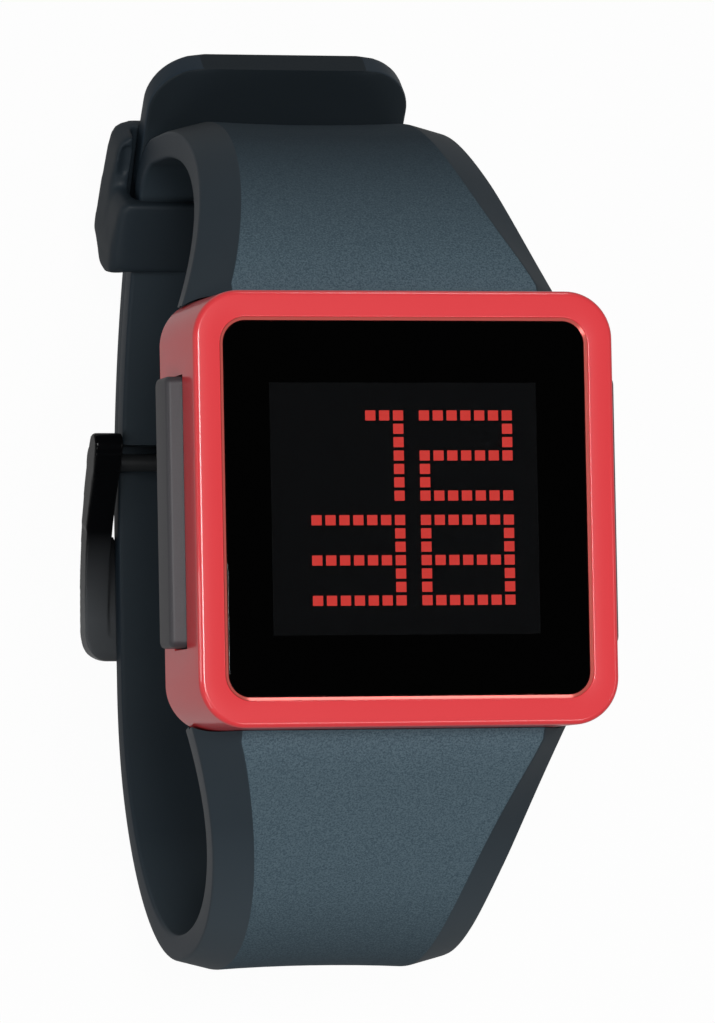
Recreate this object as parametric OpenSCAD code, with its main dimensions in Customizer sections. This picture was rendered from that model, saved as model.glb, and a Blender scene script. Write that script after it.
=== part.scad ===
// Square digital wrist watch on a closed strap, lying dial up.
// X points to 3 o'clock, Y to 12 o'clock and Z out of the dial. The origin is the centre of the case back.

/* [Case] */
// Side of the square case
case_w = 38; // [34:0.5:42]
// Front of the bezel above the outside of the case back
case_h = 12.6; // [12:0.1:14]
// Radius of the case's four upright corners
case_corner_r = 4.15; // [3.4:0.05:4.6]
// Width of the bezel round the glass
bezel_w = 2.35; // [2:0.05:2.8]
// Radius of the window's corners
window_r = 2.3; // [1:0.05:3]
// Thickness of the shell's side walls
shell_wall = 1.4; // [1.2:0.05:1.6]
// Thickness of the bezel flange
flange_t = 1.4; // [1.2:0.05:1.8]
// Rounding of the bezel's outer front edge
bezel_round = 0.5; // [0.2:0.05:0.8]
// Height of the shell's lower rim above the case back's outside
shell_rim_z = 0.6; // [0.3:0.05:0.9]

/* [Crystal and display] */
// Thickness of the crystal
crystal_t = 1; // [0.8:0.05:1.2]
// Depth of the crystal's face below the bezel
crystal_recess = 0.2; // [0:0.05:0.4]
// Bevel round the crystal's front edge
crystal_bevel = 0.3; // [0.1:0.05:0.5]
// Width of the display window
display_w = 24.2; // [20:0.1:25]
// Height of the display window
display_h = 22; // [19.5:0.1:23]
// Thickness of the display panel
display_t = 1.2; // [1:0.05:1.6]
// Side of one lit dot
dot_w = 0.94; // [0.6:0.02:1]
// Distance between dots along X
dot_pitch_x = 1.258; // [1.15:0.002:1.3]
// Distance between dots along Y
dot_pitch_y = 1.168; // [1.1:0.002:1.2]
// Distance between the two digits of a row
digit_step_x = 9.9; // [9.6:0.05:10.4]
// Distance between the two rows of digits
digit_step_y = 9.13; // [8.8:0.01:9.6]
// Offset of the digits from the window's centre
digits_x = 0.76; // [-1:0.02:1]
// Digits shown, hours above minutes
digits = [1, 2, 3, 8]; // [0:1:9]

/* [Movement] */
// Thickness of the case back
back_t = 1.2; // [1:0.05:1.6]
// Thickness of a circuit board
board_t = 0.6; // [0.4:0.05:0.8]
// Battery diameter
battery_d = 20; // [16:0.5:20]
// Battery thickness
battery_t = 3.2; // [2.5:0.1:3.2]
// Thickness of the battery clip's strip
clip_t = 0.2; // [0.15:0.01:0.25]

/* [Buttons] */
// Length of a side button
button_l = 23.6; // [20:0.1:25]
// Height of a side button
button_h = 4; // [3:0.1:4.2]
// How far a button stands out of the case
button_out = 1.45; // [1:0.05:1.8]
// Travel of a button
button_travel = 0.6; // [0.3:0.05:0.7]
// Distance of a button's two stems from its middle
stem_y = 7.5; // [5:0.1:9]
// Diameter of a button's stem
stem_d = 1.6; // [1.2:0.05:1.8]

/* [Strap] */
// How far the strap's shoulder lies inside the case's side
shoulder_in = 1.8; // [1.2:0.1:2.8]
// Half width of the short strap behind the wrist
short_w = 12.65; // [12.5:0.05:12.75]
// Half width of the long strap as it turns behind the wrist
long_w = 12.5; // [12:0.05:12.9]
// Half width of the long strap's tail
tail_w = 12.4; // [11.5:0.1:12.5]
// Thickness of the strap's edge
strap_t = 2.35; // [2:0.05:2.6]
// Rise of the shoulder's bevel above the strap's edge at the case
bevel_h = 4.7; // [3:0.1:5]
// Width of the shoulder's bevel
bevel_w = 3.5; // [2.4:0.1:3.8]
// Rise of the centre panel above the edge where the strap bends
bend_h = 0.9; // [0.4:0.05:1.2]
// Dish of the centre panel across its width
dish = 0.25; // [0:0.05:0.4]
// Room for the wrist from the dial's middle towards 12 o'clock
reach_12 = 33.85; // [32:0.1:37]
// Room for the wrist from the dial's middle towards 6 o'clock
reach_6 = 36.6; // [34:0.1:39]
// Lowest point of the closed strap below the case back
loop_drop = 43.8; // [40:0.1:48]
// Radius of the tail's outside where both straps overlap
lap_r = 64; // [58:0.5:72]
// Y of the middle of that radius
lap_y = 0.5; // [-3:0.1:3]
// Gap between the lapped straps
lap_gap = 0.15; // [0.1:0.05:0.25]
// Inside radius of the short strap's tight turn
turn_r = 5.4; // [4:0.1:7]
// Height over which the short strap runs upright above that turn
upright_12 = 3.5; // [2:0.1:6]
// Y of the tail's tip
tip_y = 44.1; // [41:0.1:45]
// Corner radius of the tail's tip
tip_r = 4.6; // [2:0.1:5.5]
// Number of adjustment holes
hole_count = 7; // [1:1:9]
// Distance between adjustment holes along the strap
hole_pitch = 7; // [6:0.1:9]
// Length of an adjustment hole
hole_l = 5; // [4.8:0.1:5.4]
// Width of an adjustment hole
hole_w = 2.8; // [2.7:0.1:3.4]

/* [Buckle] */
// Y of the buckle's pin
pin_y = 7.3; // [6.7:0.1:8.1]
// Diameter of the buckle's pin
pin_d = 1.6; // [1.4:0.05:1.8]
// Diameter of the strap's loop round the pin
knuckle_d = 3.2; // [3:0.1:3.6]
// Half length of that loop
knuckle_w = 12.2; // [10:0.1:12.2]
// Half width inside the buckle frame
frame_in_w = 12.9; // [12.85:0.05:13.3]
// Width of a frame arm seen from the front
frame_arm_w = 2.75; // [2.2:0.05:2.9]
// Thickness of the frame
frame_t = 2.3; // [2:0.1:2.8]
// Y of the frame's far bar
bar_y = -9.8; // [-12:0.1:-9]
// Outward bow of the frame's arms
frame_bow = 1.4; // [0.3:0.05:1.5]
// How far the arms reach past the pin
frame_past = 2; // [1:0.1:2.2]
// Taper of the frame towards its far bar on each side
frame_taper = 0.65; // [0:0.05:0.7]
// Width of the tongue
tongue_w = 2.2; // [1.8:0.1:2.4]
// Thickness of the tongue
tongue_t = 1.2; // [1:0.05:1.4]

/* [Keeper] */
// Angle that the keeper's outer plate covers
keeper_plate = 10.9; // [9:0.1:13]
// Angle that the keeper's inner band covers
keeper_band = 6.5; // [5:0.1:6.8]
// Half width inside the keeper
keeper_in_w = 13.2; // [13.05:0.05:13.5]
// Thickness of the keeper's side walls
keeper_side_t = 2; // [1.6:0.1:2.4]
// Thickness of the keeper's plate and band
keeper_t = 1.4; // [1:0.1:1.8]
// Narrowing of the keeper on each side towards the tail's tip
keeper_taper = 0.6; // [0:0.05:0.7]
// Corner radius of the keeper
keeper_corner_r = 1.8; // [1:0.1:2.2]
// Slope of the keeper's outer edge on its buckle side
keeper_slope = 60; // [35:1:70]

/* [Fits] */
// Gap round parts that drop into one another
fit = 0.1; // [0.05:0.01:0.15]
// Radial play of parts that turn or slide on one another
play = 0.05; // [0.02:0.01:0.08]
// Room round soft or loose parts
room = 0.3; // [0.2:0.05:0.35]

/* [Hidden] */
$fn = 48;
eps = 0.01;
half = case_w / 2;
shell_in = half - shell_wall;
shell_in_r = case_corner_r - shell_wall;
window = half - bezel_w;
shoulder_w = half - shoulder_in;

// The heights of the stack under the glass, from the bezel's front downwards
crystal_z = case_h - crystal_recess - crystal_t;
mask_t = 0.1;
mask_z = crystal_z - mask_t;
glue_t = 0.2;
rim_top = mask_z - glue_t;
dot_t = 0.2;
display_z = mask_z - fit - dot_t - display_t;
display_board_z = display_z - board_t;

// The inner case and what it holds
inner_half = shell_in - fit;
inner_r = shell_in_r - fit;
cavity = 15.2 * case_w / 38;
cavity_r = 5.5;
floor_t = 1;
floor_z = back_t + floor_t;
port_r = 12.6;
gasket_mid_r = 14;
gasket_w = 0.9;
gasket_h = 0.55;
screw_xy = inner_half - 2.75;
screw_d = 1;
screw_head_d = 2;
screw_head_t = 0.5;
screw_l = 3.4;
snap_l = 10;
snap_t = 0.3;
snap_h = 0.8;
snap_z = 8.8;

// The movement's places
module_half = cavity - 2 * fit;
module_r = cavity_r - 2 * fit;
module_wall = 2;
ledge_w = 0.8;
battery_z = back_t + clip_t + room;
board_z = battery_z + battery_t + fit;
board_half = module_half - module_wall;
board_top = board_z + board_t;
chip_w = 6;
chip_t = 1;
quartz_d = 2;
quartz_l = 6;
connector_l = 16;
connector_w = 1.6;
connector_y = 10.4;

// The buttons' stems, clips and contacts
button_z = case_h / 2;
recess_x = inner_half - 1.3;
button_in_x = recess_x + button_travel + 0.2;
clip_ring_w = 0.7;
clip_ring_t = 0.25;
stem_in_x = board_half + button_travel + fit;
clip_x = cavity - clip_ring_t - 0.05;
seal_t = 0.35;
contact_t = 0.15;
contact_w = 1.6;
contact_over = 0.6;
contact_h = button_z + stem_d / 2 + contact_over - board_top;
contact_foot = 1.8;

// The strap's anchors: lugs of the inner case with a spring bar between them
lug_in = 8;
lug_x = half - lug_in;
lug_w = 2.2;
lug_y = half + 3;
lug_top = 4;
bar_at_y = half + 1.7;
bar_at_z = 2.4;
bar_d = 1.8;
bar_tip_d = 0.8;
bar_tip_l = 1.7;
strap_y = half + play;

// The lap: the arc behind the wrist on which both straps, the keeper and the buckle's pin lie
lap_z = lap_r - loop_drop;
tail_in_r = lap_r - strap_t;
short_out_r = tail_in_r - lap_gap;
short_in_r = short_out_r - strap_t;
pin_r_at = short_out_r - knuckle_d / 2;
pin_a = asin((pin_y - lap_y) / pin_r_at);
pin_z = lap_z - pin_r_at * cos(pin_a);
tip_a = asin((tip_y - lap_y) / lap_r);
tip_round_a = tip_r / tail_in_r * 180 / PI;
turn_y = reach_12 - turn_r;
turn_z = lap_z - sqrt(pow(short_in_r - turn_r, 2) - pow(turn_y - lap_y, 2));
turn_a = asin((turn_y - lap_y) / (short_in_r - turn_r));
end_a = asin((pin_y + pin_d / 2 + 3 * play - lap_y) / short_in_r);
keeper_at = turn_a - keeper_band;

// The angles at which the straps leave the case, and the pull of their curves' handles
leave_a = 20;
pull_out = 12.4;
pull_in = 11;
start_y = half - 3.4;
start_z = 0.7;

// Where the long strap stands upright, where it lies flat, and the pull of the bend between the two
side_z = -0.514 * loop_drop;
flat_y = -0.355 * reach_6;
bend_pull = 0.53;
long_in_z = strap_t - loop_drop;

// The numbers of steps of the straps' parts
side_n = 14;
upright_n = 2;
turn_n = 8;
bend_n = 12;
flat_n = 4;
lap_n = 10;
tip_n = 8;

// The buckle's far bar, its arms' arc and the bent tongue
bar_z = -loop_drop - room - frame_t / 2;
arm_chord = norm([pin_y - bar_y, pin_z - bar_z]);
arm_r = arm_chord * arm_chord / (8 * frame_bow) + frame_bow / 2;
arm_dir = atan2(pin_z - bar_z, pin_y - bar_y);
eye_d = pin_d + 1.5;
tongue_eye_d = 3;
frame_out_w = frame_in_w + frame_arm_w;
frame_corner_r = 2.2;
elbow = [pin_y - 3.5, -loop_drop - 0.25 - tongue_t / 2];
tongue_tip = [bar_y - 1.1, bar_z - 0.6];
notch_w = tongue_w + 2 * room;
hole_at = pin_y - 2.1;

// A square plate with round corners, centred on the Z axis
module plate(h, r, z0, t) {
    translate([0, 0, z0]) linear_extrude(t) rounded(h, h, r);
}

// A rectangle with round corners, given by its half sides
module rounded(hx, hy, r) {
    square([2 * hx, 2 * (hy - r)], center = true);
    square([2 * (hx - r), 2 * hy], center = true);
    for (x = [-1, 1], y = [-1, 1]) translate([x * (hx - r), y * (hy - r)]) circle(r);
}

// A cylinder along X whose middle lies at y, z
module x_rod(d, x0, x1, y, z) {
    translate([x0, y, z]) rotate([0, 90, 0]) cylinder(d = d, h = x1 - x0);
}

// Something drawn in Y and Z, drawn out along X from x0 to x1
module along_x(x0, x1) {
    translate([x0, 0, 0]) rotate([90, 0, 90]) linear_extrude(x1 - x0) children();
}

// A section drawn as radius and X, turned about the lap's axis from angle a0 over angle a
module on_lap(a0, a) {
    translate([0, lap_y, lap_z]) rotate([0, 90, 0]) rotate([0, 0, a0])
        rotate_extrude(angle = a, $fn = 360) children();
}

// The outline of one side of the case, with x as the distance in from the outside
module side_section() {
    translate([0, shell_rim_z]) square([case_corner_r, case_h - shell_rim_z - bezel_round]);
    translate([bezel_round, case_h - bezel_round - eps])
        square([case_corner_r - bezel_round, bezel_round + eps]);
    translate([bezel_round, case_h - bezel_round]) circle(bezel_round);
}

// A ring with that outline round the case, as deep as its corners are round
module case_ring() {
    side = case_w - 2 * case_corner_r;
    for (a = [0 : 90 : 270]) rotate(a) {
        translate([half - case_corner_r, half - case_corner_r, 0]) rotate_extrude(angle = 90, $fn = 96)
            translate([case_corner_r, 0]) mirror([1, 0]) side_section();
        translate([half, side / 2, 0]) rotate([90, 0, 0]) linear_extrude(side)
            mirror([1, 0]) side_section();
    }
}

module button_slot(grow) {
    for (x = [-1, 1]) translate([x * half, 0, button_z])
        cube([4 * shell_wall, button_l + 2 * grow, button_h + 2 * grow], center = true);
}

// The lugs' outline, grown by a gap, from y0 outwards
module lug_block(grow, y0, y1, z0, z1) {
    for (x = [-1, 1], y = [-1, 1])
        translate([x * (lug_x + lug_w / 2), y * (y0 + y1) / 2, (z0 + z1) / 2])
            cube([lug_w + 2 * grow, y1 - y0, z1 - z0], center = true);
}

module shell() {
    color("#DE444B") difference() {
        case_ring();
        plate(shell_in, shell_in_r, -1, case_h - flange_t + 1);
        plate(window, window_r, -1, case_h + 2);
        button_slot(0.15);
        lug_block(fit, shell_in - 1, half + 1, shell_rim_z - 1, lug_top + fit);
        for (y = [-1, 1]) translate([0, y * shell_in, snap_z])
            cube([snap_l + 2 * fit, 2 * (snap_t + fit), snap_h + 2 * fit], center = true);
    }
}

module inner_case() {
    color("#1C1E20") difference() {
        union() {
            plate(inner_half, inner_r, back_t, rim_top - back_t);
            lug_block(0, inner_half - 1, lug_y, back_t, lug_top);
            for (y = [-1, 1]) translate([0, y * inner_half, snap_z])
                cube([snap_l, 2 * snap_t, snap_h], center = true);
        }
        plate(cavity, cavity_r, floor_z, rim_top);
        cylinder(r = port_r, h = floor_z + 1, $fn = 96);
        translate([0, 0, back_t - 1]) difference() {
            cylinder(r = gasket_mid_r + gasket_w / 2 + play, h = gasket_h + play + 1, $fn = 96);
            cylinder(r = gasket_mid_r - gasket_w / 2 - play, h = gasket_h + play + 1, $fn = 96);
        }
        for (x = [-1, 1]) {
            translate([x * (recess_x + 2), 0, button_z])
                cube([4, button_l + 4 * fit, button_h + 4 * fit], center = true);
            for (y = [-1, 1]) {
                translate([x * recess_x, y * stem_y, button_z]) rotate([0, 90, 0]) {
                    cylinder(d = stem_d + 2 * play, h = 6, center = true);
                    cylinder(d = stem_d + 1.6, h = 2 * seal_t + 2 * play, center = true);
                }
                translate([x * screw_xy, y * screw_xy, 0]) cylinder(d = screw_d, h = screw_l + fit);
            }
            x_rod(bar_tip_d + 2 * play, x < 0 ? -lug_x - lug_w - 1 : lug_x - 1,
                x < 0 ? -lug_x + 1 : lug_x + lug_w + 1, bar_at_y, bar_at_z);
            x_rod(bar_tip_d + 2 * play, x < 0 ? -lug_x - lug_w - 1 : lug_x - 1,
                x < 0 ? -lug_x + 1 : lug_x + lug_w + 1, -bar_at_y, bar_at_z);
        }
    }
}

module crystal() {
    color("#0B0D10", 0.6) difference() {
        plate(window - fit, window_r - fit, crystal_z, crystal_t);
        for (a = [0 : 90 : 270]) rotate(a) {
            translate([window - fit, 0, crystal_z + crystal_t]) rotate([0, 45, 0])
                cube([crystal_bevel * sqrt(2), case_w, crystal_bevel * sqrt(2)], center = true);
            translate([window - window_r, window - window_r, crystal_z + crystal_t - crystal_bevel])
                difference() {
                    cube([window_r, window_r, 2 * crystal_bevel]);
                    cylinder(r1 = window_r - fit, r2 = window_r - fit - 2 * crystal_bevel,
                        h = 2 * crystal_bevel);
                }
        }
    }
}

module crystal_seal() {
    color("#15171A") difference() {
        plate(window - 2 * fit, window_r - 2 * fit, rim_top, glue_t);
        plate(cavity, cavity_r, rim_top - 1, glue_t + 2);
    }
}

module dial_mask() {
    color("#050607") difference() {
        plate(window - 2 * fit, window_r - 2 * fit, mask_z, mask_t);
        translate([-display_w / 2, -display_h / 2, mask_z - 1]) cube([display_w, display_h, mask_t + 2]);
    }
}

module display_panel() {
    color("#121417") translate([-display_w / 2 - room, -display_h / 2 - room, display_z])
        cube([display_w + 2 * room, display_h + 2 * room, display_t]);
}

// The bars of a seven-bar figure that each digit lights, from the top clockwise and then the middle
function bars(d) = ["abcdef", "bcx", "abged", "abgcd", "fgbc", "afgcd", "afgedc", "abc", "abcdefg",
    "abcfgd"][d];
function has(d, bar) = len(search(bar, bars(d))) > 0;
function lit(d, row, col) = (row == 0 && has(d, "a")) || (row == 3 && has(d, "g"))
    || (row == 6 && has(d, "d")) || (row == 0 && col > 3 && has(d, "x"))
    || (col == 0 && row <= 3 && has(d, "f")) || (col == 0 && row >= 3 && has(d, "e"))
    || (col == 6 && row <= 3 && has(d, "b")) || (col == 6 && row >= 3 && has(d, "c"));

module led_digits() {
    color("#D03B35") for (i = [0 : 3], row = [0 : 6], col = [0 : 6]) if (lit(digits[i], row, col))
        translate([digits_x + (i % 2 - 0.5) * digit_step_x + (col - 3) * dot_pitch_x,
            (0.5 - floor(i / 2)) * digit_step_y + (3 - row) * dot_pitch_y,
            display_z + display_t + dot_t / 2])
            cube([dot_w, dot_w, dot_t], center = true);
}

module display_board() {
    color("#14532D") plate(module_half - fit, module_r - fit, display_board_z, board_t);
}

module display_connector() {
    color("#C7C9CC") translate([-connector_l / 2, connector_y - connector_w / 2, board_top])
        cube([connector_l, connector_w, display_board_z - board_top]);
}

module module_frame() {
    color("#2A2D31") difference() {
        plate(module_half, module_r, floor_z, display_board_z - floor_z);
        plate(board_half + fit, module_r - module_wall + fit, board_z, display_board_z);
        plate(board_half - ledge_w, module_r - module_wall, floor_z - 1, display_board_z);
        for (x = [-1, 1], y = [-1, 1]) translate([x * module_half, y * stem_y, button_z])
            cube([2 * (module_wall + 1), stem_d + 2 * clip_ring_w + 1, stem_d + 2 * clip_ring_w + 0.4],
                center = true);
    }
}

module main_board() {
    color("#1B5E3A") plate(board_half, module_r - module_wall, board_z, board_t);
}

module controller_chip() {
    color("#17181A") translate([-chip_w / 2, -chip_w / 2 - 1, board_top]) cube([chip_w, chip_w, chip_t]);
}

module quartz_can() {
    color("#B9BDC2") x_rod(quartz_d, -quartz_l / 2, quartz_l / 2, -8, board_top + quartz_d / 2);
}

module battery() {
    color("#C9CCCF") translate([0, 0, battery_z]) {
        cylinder(d = battery_d, h = battery_t * 0.8, $fn = 96);
        cylinder(d = battery_d - 2, h = battery_t, $fn = 96);
    }
}

module battery_clip() {
    clip_half = battery_d / 2 + room;
    color("#AEB2B6") {
        translate([-clip_half - clip_t, -2, battery_z - clip_t])
            cube([2 * (clip_half + clip_t), 4, clip_t]);
        for (x = [-clip_half - clip_t, clip_half]) translate([x, -2, battery_z - clip_t])
            cube([clip_t, 4, board_z - battery_z + clip_t]);
    }
}

// One side button with its two stems, drawn on the right
module side_button() {
    out = half + button_out;
    edge = 0.6;
    color("#4B4A4E") {
        translate([button_in_x, -button_l / 2, button_z - button_h / 2])
            cube([out - edge - button_in_x, button_l, button_h]);
        translate([0, 0, button_z]) intersection() {
            translate([button_in_x, -button_l / 2, -button_h / 2])
                cube([out - button_in_x, button_l, button_h]);
            translate([out - 2 * edge, 0, 0]) rotate([0, 90, 0]) linear_extrude(2 * edge)
                rounded(button_h / 2 - edge / 2, button_l / 2 - edge / 2, edge);
        }
        for (y = [-1, 1]) x_rod(stem_d, stem_in_x, button_in_x + eps, y * stem_y, button_z);
    }
}

module side_button_clips() {
    color("#9DA1A5") for (y = [-1, 1]) translate([clip_x, y * stem_y, button_z]) rotate([0, 90, 0])
        difference() {
            cylinder(d = stem_d + 2 * clip_ring_w, h = clip_ring_t);
            translate([0, 0, -1]) cylinder(d = stem_d, h = clip_ring_t + 2);
            translate([-stem_d / 2 + 0.2, 0, -1])
                cube([stem_d - 0.4, stem_d + clip_ring_w, clip_ring_t + 2]);
        }
}

module side_button_seals() {
    color("#202224") for (y = [-1, 1]) translate([recess_x - seal_t, y * stem_y, button_z])
        rotate([0, 90, 0]) difference() {
            cylinder(d = stem_d + 1.6 - 2 * play, h = seal_t - play);
            translate([0, 0, -1]) cylinder(d = stem_d + 2 * play, h = seal_t + 2);
        }
}

module side_contacts() {
    contact_x = stem_in_x - 0.05 - contact_t;
    color("#C9A24A") for (y = [-1, 1]) {
        translate([contact_x, y * stem_y - contact_w / 2, board_top])
            cube([contact_t, contact_w, contact_h]);
        translate([contact_x - contact_foot + contact_t, y * stem_y - contact_w / 2, board_top])
            cube([contact_foot, contact_w, contact_t]);
    }
}

module left_button() mirror([1, 0, 0]) side_button();
module left_button_clips() mirror([1, 0, 0]) side_button_clips();
module left_button_seals() mirror([1, 0, 0]) side_button_seals();
module left_contacts() mirror([1, 0, 0]) side_contacts();
module right_button() side_button();
module right_button_clips() side_button_clips();
module right_button_seals() side_button_seals();
module right_contacts() side_contacts();

module back_gasket() {
    color("#101112") translate([0, 0, back_t]) difference() {
        cylinder(r = gasket_mid_r + gasket_w / 2, h = gasket_h, $fn = 96);
        translate([0, 0, -1]) cylinder(r = gasket_mid_r - gasket_w / 2, h = gasket_h + 2, $fn = 96);
    }
}

module case_back() {
    color("#A9ADB1") difference() {
        plate(inner_half, inner_r, 0, back_t);
        for (x = [-1, 1], y = [-1, 1]) translate([x * screw_xy, y * screw_xy, -1]) {
            cylinder(d = screw_d + 2 * fit, h = back_t + 2);
            cylinder(d = screw_head_d + 2 * fit, h = 1 + screw_head_t + fit);
        }
    }
}

module case_back_screws() {
    color("#8D9195") for (x = [-1, 1], y = [-1, 1]) translate([x * screw_xy, y * screw_xy, fit])
        difference() {
            union() {
                cylinder(d = screw_head_d, h = screw_head_t);
                cylinder(d = screw_d - 2 * 0.02, h = screw_l - fit);
            }
            cube([0.3, screw_head_d + 1, 2 * 0.2], center = true);
        }
}

// Points of a cubic curve from p to q that leaves along u and arrives along v
function curve(p, u, q, v, n) = [for (i = [0 : n - 1]) let (t = i / n, s = 1 - t)
    s * s * s * p + 3 * s * s * t * (p + u) + 3 * s * t * t * (q - v) + t * t * t * q];
function arc(c, r, a0, a1, n) = [for (i = [0 : n - 1]) let (a = a0 + (a1 - a0) * i / n)
    c + r * [sin(a), -cos(a)]];
function lap_point(r, a) = [lap_y, lap_z] + r * [sin(a), -cos(a)];

// The straps' inner faces in Y and Z, from the case to the buckle and to the tail's tip
upper_path = concat(
    curve([start_y, start_z], pull_out * [cos(leave_a), -sin(leave_a)],
        [reach_12, turn_z + upright_12], [0, -pull_in], side_n),
    [for (i = [0 : upright_n - 1]) [reach_12, turn_z + upright_12 * (1 - i / upright_n)]],
    arc([turn_y, turn_z], turn_r, 90, turn_a, turn_n),
    arc([lap_y, lap_z], short_in_r, turn_a, end_a, lap_n),
    [lap_point(short_in_r, end_a)]);
lower_path = concat(
    curve([-start_y, start_z], pull_out * [-cos(leave_a), -sin(leave_a)],
        [-reach_6, side_z], [0, -pull_in], side_n),
    curve([-reach_6, side_z], [0, bend_pull * (long_in_z - side_z)],
        [flat_y, long_in_z], [bend_pull * (reach_6 + flat_y), 0], bend_n),
    [for (i = [0 : flat_n - 1]) [flat_y + (lap_y - flat_y) * i / flat_n, long_in_z]],
    arc([lap_y, lap_z], tail_in_r, 0, tip_a - tip_round_a, lap_n),
    arc([lap_y, lap_z], tail_in_r, tip_a - tip_round_a, tip_a, tip_n),
    [lap_point(tail_in_r, tip_a)]);

// Distance travelled along a path at each of its points
function travel(path, i = 0, sum = 0) = i == len(path) - 1 ? [sum]
    : concat([sum], travel(path, i + 1, sum + norm(path[i + 1] - path[i])));
// Direction of a path at its point i
function heading(path, i) = let (a = path[max(i - 1, 0)], b = path[min(i + 1, len(path) - 1)])
    (b - a) / norm(b - a);

// How far along the straps their shoulders narrow, their edges thin and their bevels fade
short_taper_l = 22;
long_taper_l = 25;
thin_l = 28;
bevel_l = 40;
shoulder_t = 0.8;
fade_l = 10;
edge_cut = 0.25;
bevel_fall = 5.2;
function left_of(s, l) = max(1 - max(s - 3, 0) / l, 0);
function shoulder(s, w, l) = w + (shoulder_w - w) * pow(left_of(s, l), 2);
function edge_t(s) = strap_t + shoulder_t * left_of(s, thin_l);
// How much of the bevel is left before the strap lies flat at distance flat_s
function fade(s, flat_s) = min(max((flat_s - s) / fade_l, 0), 1);
function rise(s) = bend_h + (bevel_h - bend_h) * pow(left_of(s, bevel_l), bevel_fall);

// One ring of the strap: an edge face, a bevel and a dished panel, mirrored about the middle
function ring(path, i, s, w, side, f) = let (
    d = heading(path, i), n = side * [-d[1], d[0]], t = edge_t(s), h = t + f * rise(s), k = f * dish,
    b = bevel_w, e = edge_cut,
    pts = [[w - e, 0], [w, e], [w, t], [w - b, h], [(w - b) / 2, h - 0.75 * k], [0, h - k],
        [-(w - b) / 2, h - 0.75 * k], [b - w, h], [-w, t], [-w, e], [e - w, 0]])
    [for (p = pts) [-side * p[0], path[i][0] + n[0] * p[1], path[i][1] + n[1] * p[1]]];

// A closed skin over rings of equal length
module skin(rings) {
    n = len(rings);
    m = len(rings[0]);
    function id(i, j) = i * m + j % m;
    polyhedron([for (r = rings) for (p = r) p], concat(
        [for (i = [0 : n - 2], j = [0 : m - 1]) each [[id(i, j), id(i + 1, j), id(i + 1, j + 1)],
            [id(i, j), id(i + 1, j + 1), id(i, j + 1)]]],
        [[for (j = [0 : m - 1]) id(0, j)]], [[for (j = [m - 1 : -1 : 0]) id(n - 1, j)]]));
}

// The pockets for the lugs and the bore for the spring bar in a strap's case end
module strap_anchor_cut(y) {
    translate([-half, y > 0 ? 0 : -strap_y, -case_h]) cube([case_w, strap_y, 2 * case_h]);
    for (x = [-1, 1]) translate([x * (lug_x + lug_w / 2), y * (strap_y + lug_y + fit) / 2,
        lug_top + fit - case_h / 2]) cube([lug_w + 2 * fit, lug_y + fit - strap_y + 1, case_h],
            center = true);
    x_rod(bar_d + 2 * play, -lug_x - fit, lug_x + fit, y * bar_at_y, bar_at_z);
}

module upper_strap() {
    s = travel(upper_path);
    color("#3E4A54") difference() {
        union() {
            skin([for (i = [0 : len(s) - 1])
                ring(upper_path, i, s[i], shoulder(s[i], short_w, short_taper_l), 1,
                    fade(s[i], s[side_n + upright_n + turn_n]))]);
            x_rod(knuckle_d, -knuckle_w, knuckle_w, pin_y, pin_z);
            on_lap(pin_a, end_a - pin_a + 0.5) translate([short_in_r + edge_cut, play - knuckle_w])
                square([strap_t - edge_cut - play, 2 * (knuckle_w - play)]);
        }
        strap_anchor_cut(1);
        x_rod(pin_d + 2 * play, -knuckle_w - 1, knuckle_w + 1, pin_y, pin_z);
        translate([-notch_w / 2, pin_y - 4, pin_z - 4]) cube([notch_w, 4 + knuckle_d, 8]);
    }
}

// Place of an adjustment hole: the used one, and the others at even steps along the strap
function hole_angle(i) = asin((hole_at - lap_y) / tail_in_r) + i * hole_pitch / tail_in_r * 180 / PI;
module hole_tool() {
    translate([0, 0, -strap_t]) linear_extrude(3 * strap_t) {
        square([hole_w, hole_l - hole_w], center = true);
        for (y = [-1, 1]) translate([0, y * (hole_l - hole_w) / 2]) circle(d = hole_w);
    }
}

module lower_strap() {
    s = travel(lower_path);
    last = s[len(s) - 1];
    function width(d) = let (
        w = max(shoulder(d, long_w, long_taper_l) - (long_w - tail_w) * d / last, tail_w),
        e = max(tip_r - (last - d), 0)) w - tip_r + sqrt(tip_r * tip_r - e * e);
    color("#3E4A54") difference() {
        skin([for (i = [0 : len(s) - 1])
            ring(lower_path, i, s[i], width(s[i]), -1, fade(s[i], s[side_n + bend_n]))]);
        strap_anchor_cut(-1);
        for (i = [-floor(hole_count / 2) : hole_count - floor(hole_count / 2) - 1]) let (a = hole_angle(i))
            if (a >= 0) translate([0, lap_y, lap_z]) rotate([a, 0, 0])
                translate([0, 0, -tail_in_r - strap_t]) hole_tool();
            else translate([0, lap_y + a * tail_in_r * PI / 180, long_in_z - strap_t]) hole_tool();
    }
}

module spring_bar(y) {
    color("#9DA1A5") {
        x_rod(bar_d, -lug_x + 0.4, lug_x - 0.4, y, bar_at_z);
        x_rod(bar_tip_d, -lug_x - bar_tip_l, lug_x + bar_tip_l, y, bar_at_z);
    }
}
module upper_spring_bar() spring_bar(bar_at_y);
module lower_spring_bar() spring_bar(-bar_at_y);

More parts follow.
